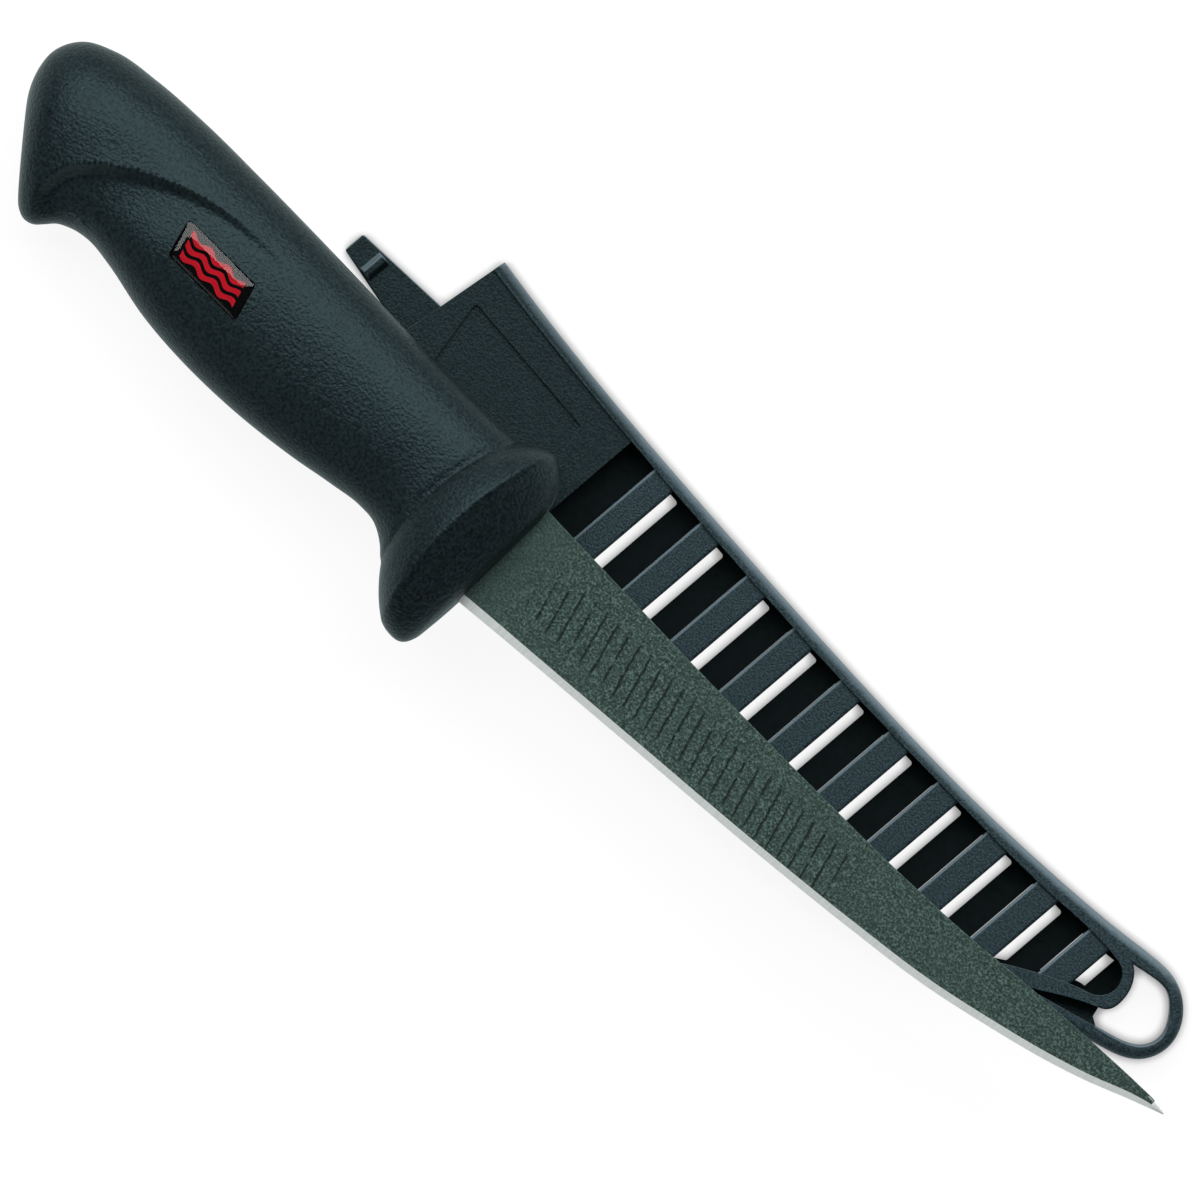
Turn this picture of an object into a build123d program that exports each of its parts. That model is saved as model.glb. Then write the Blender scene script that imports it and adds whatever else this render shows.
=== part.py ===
from build123d import *
import os
from math import asin, atan2, cos, degrees, hypot, radians, sin, tan

os.makedirs("parts", exist_ok=True)

# A fillet knife lying across its own moulded sheath. All lengths are in millimetres, angles in degrees.
# The knife has its own frame: x runs from the guard's front to the tip, y towards the spine, and z is
# square to the blade. The sheath has another: x runs from its mouth to its end loop, y is square to
# the slats. The part's frame has the floor at z = 0 and its origin under the middle of the whole.

# Blade: a tapered strip with a flat grind, a narrow ground bevel and a full tang.
blade_length = 178.0
blade_height = 26.4
blade_thickness = 1.9
shoulder_thickness = 1.1
tip_thickness = 0.8
edge_thickness = 0.12
bevel_width = 1.7
heel_depth = 4.0
tang_length = 112.0
tang_height = 15.0
tang_end_height = 9.0
tang_hole_radius = 2.5

# Handle: a hard core moulded round the tang, and a soft grip moulded over the core.
handle_length = 141.2
grip_height = 38.4
grip_thickness = 25.0
guard_depth = 22.0
guard_height = 50.3
guard_thickness = 29.0
core_thickness = 12.0
core_round = 2.0
flange_height = 37.0
flange_width = 17.0
flange_thickness = 2.6
flange_depth = 6.4

# Badge: a thin plate under a clear dome, in a leaning recess on the side of the grip.
badge_length = 19.6
badge_height = 8.3
badge_lean = 16.0
badge_round = 0.9
badge_border = 0.8
badge_from_guard = 83.9
badge_drop = 1.3
badge_seat_depth = 1.7
badge_plate_thickness = 0.5
badge_dome_thickness = 1.2
badge_dome_round = 0.6

# Sheath: one moulding. The blade decides the size of the space inside it.
tip_room = 19.4
mouth_room = 5.0
slot_play = 1.35
rail_width = 2.8
rail_lip = 0.8
rail_round = 2.0
base_round = 0.7
back_wall = 1.6
front_wall = 1.6
mouth_lean = 5.9
panel_length = 45.5
slat_width = 6.2
slat_pitch = 14.6
window_width = 7.4
gap_after_slat = 2.4
gap_end_room = 0.9
gap_round = 0.7
mark_radius = 1.8
mark_depth = 0.2
mark_rise = 10.3
mark_far_rise = 13.4
label_length = 33.7
label_height = 16.0
label_lean = 13.5
label_depth = 0.8
label_round = 0.8
label_from_mouth = 21.3
label_rise = 3.0
loop_length = 16.3
loop_chamfer = 0.5
web_thickness = 2.2

# Catch: a springy tongue cut free of the sheath's back wall, with a ridge that holds the guard.
catch_reach = 23.7
catch_root = 38.0
catch_end_width = 5.0
catch_root_width = 10.0
catch_end_round = 0.6
catch_slit = 0.8
catch_root_gap = 0.35
ridge_from_mouth = 14.8
ridge_width = 3.0
ridge_height = 1.7
ridge_length = 5.2
ridge_crest_width = 1.4

# How the knife lies on its sheath.
mouth_setback = 45.0
sheath_offset = 21.8
sheath_turn = 4.5
rest_gap = 0.3
overrun = 1.0

# Sizes that follow from the ones above.
slot_height = blade_thickness + 2 * slot_play
panel_top = back_wall + slot_height + front_wall
rail_height = panel_top + rail_lip
cavity_length = blade_length + tip_room
sheath_height = blade_height + 2 * (mouth_room + rail_width)

# Cross-sections of the grip, from inside the guard back to the pommel: where the section meets the
# back of the handle (x, y), where it meets the belly (x, y), and its half thickness. They are shares
# of the handle's length, the grip's height and half its thickness, and fan out round the finger hollow.
grip_shares = [
    (0.057, 0.417, 0.057, -0.326, 0.70),
    (0.142, 0.466, 0.142, -0.359, 0.80),
    (0.212, 0.469, 0.212, -0.372, 0.816),
    (0.319, 0.474, 0.319, -0.440, 0.856),
    (0.425, 0.487, 0.425, -0.484, 0.912),
    (0.538, 0.497, 0.531, -0.500, 0.944),
    (0.659, 0.502, 0.630, -0.474, 0.960),
    (0.765, 0.500, 0.715, -0.411, 0.968),
    (0.857, 0.479, 0.765, -0.393, 0.992),
    (0.928, 0.437, 0.800, -0.422, 1.0),
    (0.977, 0.338, 0.822, -0.474, 0.944),
    (0.999, 0.182, 0.839, -0.539, 0.784),
    (0.996, 0.039, 0.857, -0.562, 0.528),
    (0.977, -0.091, 0.882, -0.505, 0.20),
]

# Cross-sections of the guard, from inside the neck to its front, in shares of the guard's depth, its
# height and half its thickness. It swells to a rim and falls away to a smaller flat front.
guard_shares = [
    (1.09, 0.318, 1.14, -0.254, 0.634),
    (0.886, 0.342, 0.932, -0.322, 0.786),
    (0.705, 0.364, 0.773, -0.394, 0.924),
    (0.545, 0.398, 0.614, -0.477, 1.0),
    (0.409, 0.427, 0.455, -0.535, 0.986),
    (0.273, 0.419, 0.295, -0.567, 0.910),
    (0.145, 0.374, 0.164, -0.567, 0.786),
    (0.055, 0.310, 0.073, -0.533, 0.641),
    (0.0, 0.239, 0.041, -0.467, 0.510),
]

# The blade's spine and edge along its length, in shares of its length and of its height at the heel.
blade_shares = [
    (0.0, 0.477, -0.523),
    (0.112, 0.455, -0.455),
    (0.253, 0.428, -0.375),
    (0.449, 0.413, -0.265),
    (0.590, 0.420, -0.165),
    (0.702, 0.456, -0.061),
    (0.787, 0.508, 0.064),
    (0.854, 0.538, 0.180),
    (0.910, 0.557, 0.303),
    (0.955, 0.568, 0.424),
    (0.983, 0.567, 0.496),
    (1.0, 0.547, 0.537),
]

# The core's back and belly, in shares of the handle's length and the grip's height.
core_back_shares = [(0.042, 0.221), (0.13, 0.285), (0.30, 0.29), (0.55, 0.31), (0.75, 0.30), (0.864, 0.234)]
core_belly_shares = [
    (0.880, 0.03), (0.836, -0.21), (0.74, -0.21), (0.64, -0.26), (0.53, -0.30), (0.42, -0.29),
    (0.32, -0.25), (0.20, -0.198), (0.13, -0.219), (0.042, -0.30),
]

# The sheath's rails and end wall: place along the cavity, outer edge in shares of the sheath's height,
# and how many rail widths they are there. The upper rail widens to the loop, and the end wall leaves
# the loop's bar and comes down to the lower rail.
upper_rail_shares = [
    (0.0, 0.502, 1.0),
    (0.170, 0.464, 0.88),
    (0.373, 0.466, 0.93),
    (0.576, 0.489, 0.93),
    (0.779, 0.549, 0.96),
    (0.879, 0.607, 1.2),
    (0.971, 0.681, 1.7),
]
lower_rail_shares = [
    (-0.022, -0.500, 1.0),
    (0.237, -0.488, 1.0),
    (0.490, -0.448, 1.0),
    (0.692, -0.348, 1.0),
    (0.811, -0.210, 1.15),
]
end_wall_shares = [(0.978, 0.276, 0.95), (0.947, 0.171, 1.36), (0.912, 0.055, 1.5), (0.871, -0.076, 1.3)]
end_inner_shares = [(0.989, 0.550), (1.0, 0.459), (0.990, 0.367)]

# The end loop, in shares of its length beyond the cavity and of the sheath's height: the outer edge
# that joins the rails, the opening, the web's free edge, and the end wall's side of the opening.
loop_outer_shares = [
    (0.10, 0.716), (0.356, 0.721), (0.742, 0.660), (1.0, 0.476), (0.896, 0.338), (0.337, 0.210),
    (-0.638, 0.070), (-1.35, -0.045),
]
loop_opening_shares = [
    (-0.092, 0.610), (0.252, 0.648), (0.436, 0.652), (0.681, 0.590), (0.840, 0.471), (0.773, 0.388),
    (0.558, 0.324), (0.202, 0.271),
]
web_edge_shares = [(0.085, 0.292), (0.043, 0.343)]
wall_side_shares = [(0.150, 0.385), (0.166, 0.452), (0.086, 0.545)]

# The recess over the web, along the lower bar to where it meets the end wall, and back along the wall.
web_bar_shares = [(-0.209, 0.210), (-0.515, 0.167), (-0.822, 0.124)]
web_wall_shares = [(-0.638, 0.171), (-0.405, 0.238), (-0.172, 0.298)]


def section_points(shares, length, height, half_thickness):
    """A section's back point, belly point and half thickness, in the knife's frame."""
    back_x, back_y, belly_x, belly_y, half = shares
    return (
        (-back_x * length, back_y * height),
        (-belly_x * length, belly_y * height),
        half * half_thickness,
    )


grip_sections = [section_points(s, handle_length, grip_height, grip_thickness / 2) for s in grip_shares]
guard_sections = [section_points(s, guard_depth, guard_height, guard_thickness / 2) for s in guard_shares]


def widest_place(section):
    """Where along the knife a section is thickest, and its half thickness there."""
    back, belly, half = section
    return (back[0] + belly[0]) / 2, half


def half_thickness_at(place):
    """Half the grip's thickness at a place along the knife, between two of its sections."""
    stations = [widest_place(section) for section in grip_sections]
    for (near, near_half), (far, far_half) in zip(stations, stations[1:]):
        if far <= place <= near:
            return near_half + (far_half - near_half) * (near - place) / (near - far)
    return stations[0][1]


# The knife leans: its guard lies on the sheath and its pommel on the floor. The pommel rests where it
# is thickest, and the lean is the steepest that any place over the sheath asks for.
mouth_place = -(mouth_setback + sheath_height * tan(radians(mouth_lean)))
over_sheath = [widest_place(section) for section in grip_sections + guard_sections]
over_sheath = [place for place in over_sheath if place[0] > mouth_place]
over_sheath.append((mouth_place, half_thickness_at(mouth_place)))
pommel_place, pommel_half = max([widest_place(section) for section in grip_sections], key=lambda p: p[1])
knife_lean = max(
    asin(rail_height / hypot(place - pommel_place, half - pommel_half))
    + atan2(half - pommel_half, place - pommel_place)
    for place, half in over_sheath
)
guard_rise = rest_gap + max(
    half * cos(knife_lean) - place * sin(knife_lean)
    for place, half in [widest_place(section) for section in grip_sections]
    if place < mouth_place
)

# The origin lies under the middle of the whole, between pommel and tip and between guard and sheath.
sheath_top = sheath_offset + upper_rail_shares[0][1] * sheath_height * cos(radians(sheath_turn))
guard_low = min(belly[1] for back, belly, half in guard_sections)
middle_x = (blade_length - handle_length) / 2 * cos(knife_lean)
middle_y = (sheath_top + guard_low) / 2

knife = Plane(
    origin=(-middle_x, -middle_y, guard_rise),
    x_dir=(cos(knife_lean), 0, sin(knife_lean)),
    z_dir=(-sin(knife_lean), 0, cos(knife_lean)),
)
sheath = Plane(
    origin=(-middle_x - mouth_setback, sheath_offset - middle_y, 0),
    x_dir=(cos(radians(sheath_turn)), -sin(radians(sheath_turn)), 0),
    z_dir=(0, 0, 1),
)


def across_knife(back, belly):
    """The plane square to the knife's flat that holds a section from its back to its belly."""
    middle = ((back[0] + belly[0]) / 2, (back[1] + belly[1]) / 2, 0)
    rise = Vector(back[0] - belly[0], back[1] - belly[1], 0)
    rise_out = knife.from_local_coords(rise) - knife.origin
    return Plane(origin=knife.from_local_coords(middle), x_dir=rise_out, z_dir=rise_out.cross(knife.z_dir))


def blade_half_thickness(share, height_share):
    """Half the blade's thickness before the bevel, thinner to the tip and from the spine down."""
    spine_half = blade_thickness / 2 + share * (tip_thickness - blade_thickness) / 2
    grind = (blade_thickness - shoulder_thickness) / blade_thickness
    return spine_half * (1 - grind * height_share)


# Blade and tang in one strip of stainless steel. The heel runs a little way into the guard.
with BuildPart() as blade:
    for number, (share, spine_share, edge_share) in enumerate(blade_shares):
        spine = spine_share * blade_height
        edge = edge_share * blade_height
        shoulder = edge + min(bevel_width, (spine - edge) / 2)
        depth_share = (spine - shoulder) / blade_height
        spine_half = blade_half_thickness(share, 0)
        shoulder_half = blade_half_thickness(share, depth_share)
        place = -heel_depth if number == 0 else share * blade_length
        with BuildSketch(Plane(knife.from_local_coords((place, 0, 0)), knife.y_dir, knife.x_dir)):
            with BuildLine():
                Polyline(
                    (spine, spine_half),
                    (shoulder, shoulder_half),
                    (edge, edge_thickness / 2),
                    (edge, -edge_thickness / 2),
                    (shoulder, -shoulder_half),
                    (spine, -spine_half),
                    close=True,
                )
            make_face()
    loft()
    with BuildSketch(knife) as tang_outline:
        with BuildLine():
            Polyline(
                (0, -tang_height / 2),
                (0, tang_height / 2),
                (-tang_length, tang_end_height / 2),
                (-tang_length, -tang_end_height / 2),
                close=True,
            )
        make_face()
        fillet(tang_outline.vertices().group_by(Axis.X)[0], radius=tang_end_height / 3)
    extrude(amount=blade_thickness / 2, both=True)
    with BuildSketch(knife):
        with GridLocations(tang_length / 3, 0, 3, 1):
            with Locations((-tang_length / 2 - heel_depth, 0)):
                Circle(tang_hole_radius)
    extrude(amount=blade_thickness, both=True, mode=Mode.SUBTRACT)
blade.part.label = "blade"

# Hard core, moulded round the tang and through its holes, with a flange that stiffens the guard.
core_points = [(-x * handle_length, y * grip_height) for x, y in core_back_shares + core_belly_shares]
with BuildPart() as handle_core:
    with BuildSketch(knife):
        with BuildLine():
            FilletPolyline(*core_points, radius=core_round, close=True)
        make_face()
    extrude(amount=core_thickness / 2, both=True)
    core_faces = handle_core.faces().sort_by(Axis(knife.origin, knife.z_dir))
    fillet(core_faces[-1].edges() + core_faces[0].edges(), radius=core_round)
    flange_middle = (guard_shares[4][1] + guard_shares[4][3]) / 2 * guard_height
    flange_place = knife.from_local_coords((-flange_depth, flange_middle, 0))
    with BuildSketch(Plane(flange_place, knife.y_dir, knife.x_dir)):
        Ellipse(flange_height / 2, flange_width / 2)
    extrude(amount=-flange_thickness)
    add(blade.part, mode=Mode.SUBTRACT)
handle_core.part.label = "handle_core"


def leaning_corners(length, height, lean):
    """Corners of a label whose ends lean back, round its middle."""
    shift = height / 2 * tan(radians(lean))
    return [
        (-length / 2 - shift, height / 2),
        (length / 2 - shift, height / 2),
        (length / 2 + shift, -height / 2),
        (-length / 2 + shift, -height / 2),
    ]


badge_middle = (-badge_from_guard, -badge_drop)
badge_seat = half_thickness_at(-badge_from_guard) - badge_seat_depth

# Soft grip: rubber moulded over the core, with guard, finger hollow and pommel hook in one.
with BuildPart() as soft_grip:
    for back, belly, half in grip_sections:
        with BuildSketch(across_knife(back, belly)):
            Ellipse(hypot(back[0] - belly[0], back[1] - belly[1]) / 2, half)
    loft()
    for back, belly, half in guard_sections:
        with BuildSketch(across_knife(back, belly)):
            Ellipse(hypot(back[0] - belly[0], back[1] - belly[1]) / 2, half)
    loft()
    with BuildSketch(knife.offset(badge_seat)) as badge_recess:
        with Locations(badge_middle):
            recess_length = badge_length + 2 * badge_border
            recess_height = badge_height + 2 * badge_border
            Polygon(*leaning_corners(recess_length, recess_height, badge_lean))
        fillet(badge_recess.vertices(), radius=badge_round + badge_border)
    extrude(amount=grip_thickness / 2, mode=Mode.SUBTRACT)
    add(handle_core.part, mode=Mode.SUBTRACT)
    add(blade.part, mode=Mode.SUBTRACT)
soft_grip.part.label = "soft_grip"

# Badge plate, glued to the floor of its recess.
with BuildPart() as badge_plate:
    with BuildSketch(knife.offset(badge_seat)) as plate_outline:
        with Locations(badge_middle):
            Polygon(*leaning_corners(badge_length, badge_height, badge_lean))
        fillet(plate_outline.vertices(), radius=badge_round)
    extrude(amount=badge_plate_thickness)
badge_plate.part.label = "badge_plate"

# Clear resin dome, poured over the plate and drawn back from its edge.
with BuildPart() as badge_dome:
    with BuildSketch(knife.offset(badge_seat + badge_plate_thickness)) as dome_outline:
        with Locations(badge_middle):
            Polygon(*leaning_corners(badge_length, badge_height, badge_lean))
        fillet(dome_outline.vertices(), radius=badge_round)
    extrude(amount=badge_dome_thickness)
    dome_top = badge_dome.faces().sort_by(Axis(knife.origin, knife.z_dir))[-1]
    fillet(dome_top.edges(), radius=badge_dome_round)
badge_dome.part.label = "badge_dome"


def upper_rail(widths, inset):
    """Points along the upper rail, so many rail widths inside its outer edge and an inset further."""
    return [
        (x * cavity_length, y * sheath_height - widths * w * rail_width - inset)
        for x, y, w in upper_rail_shares
    ]


def lower_side(shares, widths, inset):
    """The same along the end wall, or along the lower rail back to the mouth."""
    return [
        (x * cavity_length, y * sheath_height + widths * w * rail_width + inset)
        for x, y, w in sorted(shares, reverse=True)
    ]


def cavity_line(inset):
    """Points round the cavity, from the mouth along the upper rail, the end and the lower rail."""
    return [
        *upper_rail(1, inset),
        *[(x * cavity_length - inset, y * sheath_height) for x, y in end_inner_shares],
        *lower_side(end_wall_shares, 1, inset),
        *lower_side(lower_rail_shares, 1, inset),
    ]


def loop_point(share):
    """A point of the end loop in the sheath's frame."""
    return cavity_length + share[0] * loop_length, share[1] * sheath_height


def mouth_edge(height):
    """Place of the slanted mouth at a height across the sheath."""
    return (height - upper_rail_shares[0][1] * sheath_height) * tan(radians(mouth_lean))


# The outline over rails and loop, and the space inside the tray, which runs out through the mouth.
loop_outer = [loop_point(share) for share in loop_outer_shares]
with BuildSketch(Plane.XY) as sheath_outline:
    with BuildLine():
        rim = Spline(*upper_rail(0, 0), *loop_outer, *lower_side(lower_rail_shares, 0, 0))
        Line(rim @ 1, rim @ 0)
    make_face()

with BuildSketch(Plane.XY) as cavity_outline:
    with BuildLine():
        wall = Spline(*cavity_line(0))
        way_out = -(catch_reach + overrun)
        Polyline(wall @ 1, (way_out, (wall @ 1).Y), (way_out, (wall @ 0).Y), wall @ 0)
    make_face()

first_slat = panel_length + window_width
slat_starts = []
while first_slat + len(slat_starts) * slat_pitch + slat_width < cavity_length:
    slat_starts.append(first_slat + len(slat_starts) * slat_pitch)
window_starts = [panel_length] + [start + slat_width for start in slat_starts]
window_ends = slat_starts + [cavity_length + rail_width]

# Openings in the front wall, between the front slats.
with BuildSketch(Plane.XY) as front_windows:
    add(cavity_outline.sketch)
    with BuildSketch(Plane.XY, mode=Mode.INTERSECT):
        for start, end in zip(window_starts, window_ends):
            with Locations(((start + end) / 2, 0)):
                Rectangle(end - start, 2 * sheath_height)

# Openings in the back wall, behind the front slats and running on past their far sides.
with BuildSketch(Plane.XY) as back_windows:
    with BuildLine():
        line = Spline(*cavity_line(gap_end_room))
        Line(line @ 1, line @ 0)
    make_face()
    with BuildSketch(Plane.XY, mode=Mode.INTERSECT):
        for start in slat_starts:
            gap_width = slat_width + gap_after_slat
            with Locations((start + gap_width / 2, 0)):
                Rectangle(gap_width, 2 * sheath_height)
    for window in back_windows.faces().sort_by(Axis.X)[:-1]:
        fillet(window.edges().filter_by(GeomType.LINE).vertices(), radius=gap_round)


def catch_outline(margin):
    """The tongue's outline, widened by a margin: tapered outside the mouth, parallel inside it."""
    mouth = mouth_edge(0)
    half_end = catch_end_width / 2 + margin
    half_root = catch_root_width / 2 + margin
    end = -catch_reach - margin
    return [
        (end, half_end),
        (mouth, half_root),
        (catch_root, half_root),
        (catch_root, -half_root),
        (mouth, -half_root),
        (end, -half_end),
    ]


# The loop's opening, and the recess over the web that fills the corner beside it.
with BuildSketch(Plane.XY) as loop_opening:
    with BuildLine():
        bar_side = Spline(*[loop_point(share) for share in loop_opening_shares])
        web_side = Polyline(bar_side @ 1, *[loop_point(share) for share in web_edge_shares])
        Spline(web_side @ 1, *[loop_point(share) for share in wall_side_shares], bar_side @ 0)
    make_face()

with BuildSketch(Plane.XY) as web_recess:
    with BuildLine():
        lower_bar = Spline(bar_side @ 1, *[loop_point(share) for share in web_bar_shares])
        end_wall = Spline(lower_bar @ 1, *[loop_point(share) for share in web_wall_shares], web_side @ 1)
        Polyline(end_wall @ 1, loop_point(web_edge_shares[0]), bar_side @ 1)
    make_face()

# Sheath body: rails and loop in one rounded rim, then the loop's opening, the cavity and its openings.
with BuildPart() as sheath_body:
    with BuildSketch(sheath):
        add(sheath_outline.sketch)
    extrude(amount=rail_height)
    fillet(sheath_body.faces().sort_by(Axis.Z)[-1].edges().sort_by(SortBy.LENGTH)[-1], radius=rail_round)
    fillet(sheath_body.faces().sort_by(Axis.Z)[0].edges().sort_by(SortBy.LENGTH)[-1], radius=base_round)
    with BuildSketch(sheath):
        add(loop_opening.sketch)
    extrude(amount=rail_height, mode=Mode.SUBTRACT)
    for face in (sheath_body.faces().sort_by(Axis.Z)[-1], sheath_body.faces().sort_by(Axis.Z)[0]):
        chamfer(face.inner_wires()[0].edges(), length=loop_chamfer)
    with BuildSketch(sheath.offset(web_thickness)):
        add(web_recess.sketch)
    extrude(amount=rail_height, mode=Mode.SUBTRACT)
    with BuildSketch(sheath.offset(panel_top)):
        add(cavity_outline.sketch)
    extrude(amount=rail_lip, mode=Mode.SUBTRACT)
    with BuildSketch(sheath.offset(back_wall)):
        add(cavity_outline.sketch)
    extrude(amount=slot_height, mode=Mode.SUBTRACT)
    with BuildSketch(sheath.offset(back_wall + slot_height)):
        add(front_windows.sketch)
    extrude(amount=front_wall, mode=Mode.SUBTRACT)
    with BuildSketch(sheath):
        add(back_windows.sketch)
    extrude(amount=back_wall, mode=Mode.SUBTRACT)
    # Slit round the tongue, and the space for its rounded root.
    with BuildSketch(sheath):
        Polygon(*catch_outline(catch_slit), align=None)
        with Locations((catch_root, 0)):
            root_space = back_wall + 2 * catch_root_gap
            Rectangle(root_space, catch_root_width + 2 * catch_slit)
    extrude(amount=back_wall, mode=Mode.SUBTRACT)
    # Bare label recess in the front panel.
    with BuildSketch(sheath.offset(panel_top - label_depth)) as label_recess:
        with Locations((label_from_mouth, label_rise)):
            Polygon(*leaning_corners(label_length, label_height, label_lean))
        fillet(label_recess.vertices(), radius=label_round)
    extrude(amount=label_depth, mode=Mode.SUBTRACT)
    # Ejector marks on two out of three back slats.
    with BuildSketch(sheath.offset(back_wall - mark_depth)):
        for number, start in enumerate(slat_starts):
            mark_place = start - (slat_pitch - slat_width - gap_after_slat) / 2
            mark_share = number / len(slat_starts)
            if number % 3 != 1:
                with Locations((mark_place, mark_rise + (mark_far_rise - mark_rise) * mark_share)):
                    Circle(mark_radius)
    extrude(amount=mark_depth, mode=Mode.SUBTRACT)
sheath_body.part.label = "sheath_body"

# Catch tongue, hinged where it leaves the back wall, with a ridge across it near its free end.
with BuildPart() as sheath_catch:
    with BuildSketch(sheath) as tongue_outline:
        Polygon(*catch_outline(0), align=None)
        fillet(tongue_outline.vertices().group_by(Axis.X)[0], radius=catch_end_round)
    extrude(amount=back_wall)
    root_middle = sheath.from_local_coords((catch_root, 0, back_wall / 2))
    with BuildSketch(Plane(root_middle, sheath.x_dir, -sheath.y_dir)):
        Circle(back_wall / 2)
    extrude(amount=catch_root_width / 2, both=True)
    ridge_middle = sheath.from_local_coords((mouth_edge(0) - ridge_from_mouth, 0, back_wall))
    with BuildSketch(Plane(ridge_middle, sheath.x_dir, -sheath.y_dir)):
        Polygon(
            (-ridge_width / 2, -back_wall / 2),
            (-ridge_width / 2, 0),
            (-ridge_crest_width / 2, ridge_height),
            (ridge_crest_width / 2, ridge_height),
            (ridge_width / 2, 0),
            (ridge_width / 2, -back_wall / 2),
            align=None,
        )
    extrude(amount=ridge_length / 2, both=True)
sheath_catch.part.label = "sheath_catch"

for piece in (blade, handle_core, soft_grip, badge_plate, badge_dome, sheath_body, sheath_catch):
    export_step(piece.part, f"parts/{piece.part.label}.step")
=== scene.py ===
from math import cos, pi, radians, sin, tan

import bmesh
import bpy
import numpy as np
from mathutils import Matrix, Vector


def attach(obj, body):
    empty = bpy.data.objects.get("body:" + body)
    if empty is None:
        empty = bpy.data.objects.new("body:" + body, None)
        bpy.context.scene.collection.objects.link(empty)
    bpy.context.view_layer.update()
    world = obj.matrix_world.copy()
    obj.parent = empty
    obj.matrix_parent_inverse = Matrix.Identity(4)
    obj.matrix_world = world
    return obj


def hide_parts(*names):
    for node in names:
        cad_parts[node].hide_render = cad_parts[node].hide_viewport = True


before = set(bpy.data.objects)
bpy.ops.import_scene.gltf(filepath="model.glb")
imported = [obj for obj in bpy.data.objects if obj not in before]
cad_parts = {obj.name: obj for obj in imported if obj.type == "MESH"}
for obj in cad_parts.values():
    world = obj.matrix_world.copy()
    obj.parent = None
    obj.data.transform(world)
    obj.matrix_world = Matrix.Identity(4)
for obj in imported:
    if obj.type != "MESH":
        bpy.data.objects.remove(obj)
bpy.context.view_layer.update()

# A fillet knife lying across its moulded sheath. The knife leans from its pommel on the floor to its
# guard on the sheath. Its pieces are drawn in the knife's own frame, in millimetres: x from the
# guard's front to the tip, y towards the spine, z out of the side that shows the badge.
knife_frame = (
    Matrix.Translation((-0.0183133, -0.0071495, 0.0245676))
    @ Matrix.Rotation(radians(-5.563), 4, "Y")
    @ Matrix.Scale(0.001, 4)
)
knife_place, knife_turn, knife_scale = knife_frame.inverted().decompose()


# Blade: one strip of stainless steel, ground thin towards the edge and sprayed with a grey-green
# speckled non-stick coating. The edge is ground last, so it is bare and bright. Its tang, with three
# holes for the moulded core, runs on into the handle.
def linear(colour):
    """Linear red, green, blue and alpha of an sRGB hex colour."""
    parts = [int(colour[i : i + 2], 16) / 255 for i in (1, 3, 5)]
    return [p / 12.92 if p <= 0.04045 else ((p + 0.055) / 1.055) ** 2.4 for p in parts] + [1.0]


def add_node(tree, kind, inputs=(), **settings):
    """A node with its settings, and with its inputs set to a value or linked to another's output."""
    node = tree.nodes.new(kind)
    for name, value in settings.items():
        setattr(node, name, value)
    for name, value in dict(inputs).items():
        if isinstance(value, bpy.types.NodeSocket):
            tree.links.new(value, node.inputs[name])
        else:
            node.inputs[name].default_value = value
    return node


def new_finish(name, inputs):
    """A material with its shader's fixed inputs, its tree and its shader."""
    finish = bpy.data.materials.new(name)
    finish.use_nodes = True
    shader = finish.node_tree.nodes["Principled BSDF"]
    for socket, value in inputs.items():
        shader.inputs[socket].default_value = value
    return finish, finish.node_tree, shader


def set_ramp(ramp, stops):
    """Give a colour ramp its stops, as pairs of place and colour."""
    while len(ramp.color_ramp.elements) < len(stops):
        ramp.color_ramp.elements.new(0.5)
    for element, (place, colour) in zip(ramp.color_ramp.elements, stops):
        element.position, element.color = place, linear(colour)


def smooth_rows(rows, count, measured):
    """Given rows joined by a smooth curve through them and read at even steps of its length."""
    rows = np.array(rows, float)
    gaps = np.linalg.norm(np.diff(rows[:, :measured], axis=0), axis=1)
    along = np.concatenate([[0.0], np.cumsum(gaps)])
    slopes = np.gradient(rows, along, axis=0)
    place = np.linspace(0, along[-1], count)
    i = np.clip(np.searchsorted(along, place, side="right") - 1, 0, len(gaps) - 1)
    gap = gaps[i][:, None]
    t = ((place - along[i]) / gaps[i])[:, None]
    return (
        rows[i] * (2 * t**3 - 3 * t**2 + 1)
        + slopes[i] * gap * (t**3 - 2 * t**2 + t)
        + rows[i + 1] * (3 * t**2 - 2 * t**3)
        + slopes[i + 1] * gap * (t**3 - t**2)
    )


def add_piece(name, mesh):
    """An object for a mesh, in the scene."""
    piece = bpy.data.objects.new(name, mesh)
    bpy.context.scene.collection.objects.link(piece)
    return piece


def ring_mesh(name, rings):
    """A closed skin over rings of equally many points, with both ends capped."""
    count, around = len(rings), len(rings[0])
    points = [tuple(p) for ring in rings for p in ring]
    faces = []
    for i in range(count - 1):
        for j in range(around):
            k = (j + 1) % around
            faces.append((i * around + j, i * around + k, (i + 1) * around + k, (i + 1) * around + j))
    faces.append(tuple(range(around - 1, -1, -1)))
    faces.append(tuple(range((count - 1) * around, count * around)))
    mesh = bpy.data.meshes.new(name)
    mesh.from_pydata(points, [], faces)
    return add_piece(name, mesh)


def tidy_mesh(piece, place, merge=1e-5):
    """Merge a piece's doubles, turn its faces outwards and put it in its place."""
    mesh = bmesh.new()
    mesh.from_mesh(piece.data)
    bmesh.ops.remove_doubles(mesh, verts=mesh.verts, dist=merge)
    bmesh.ops.dissolve_degenerate(mesh, edges=mesh.edges, dist=merge)
    bmesh.ops.recalc_face_normals(mesh, faces=mesh.faces)
    bmesh.ops.transform(mesh, matrix=place, verts=mesh.verts)
    mesh.to_mesh(piece.data)
    mesh.free()


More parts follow.
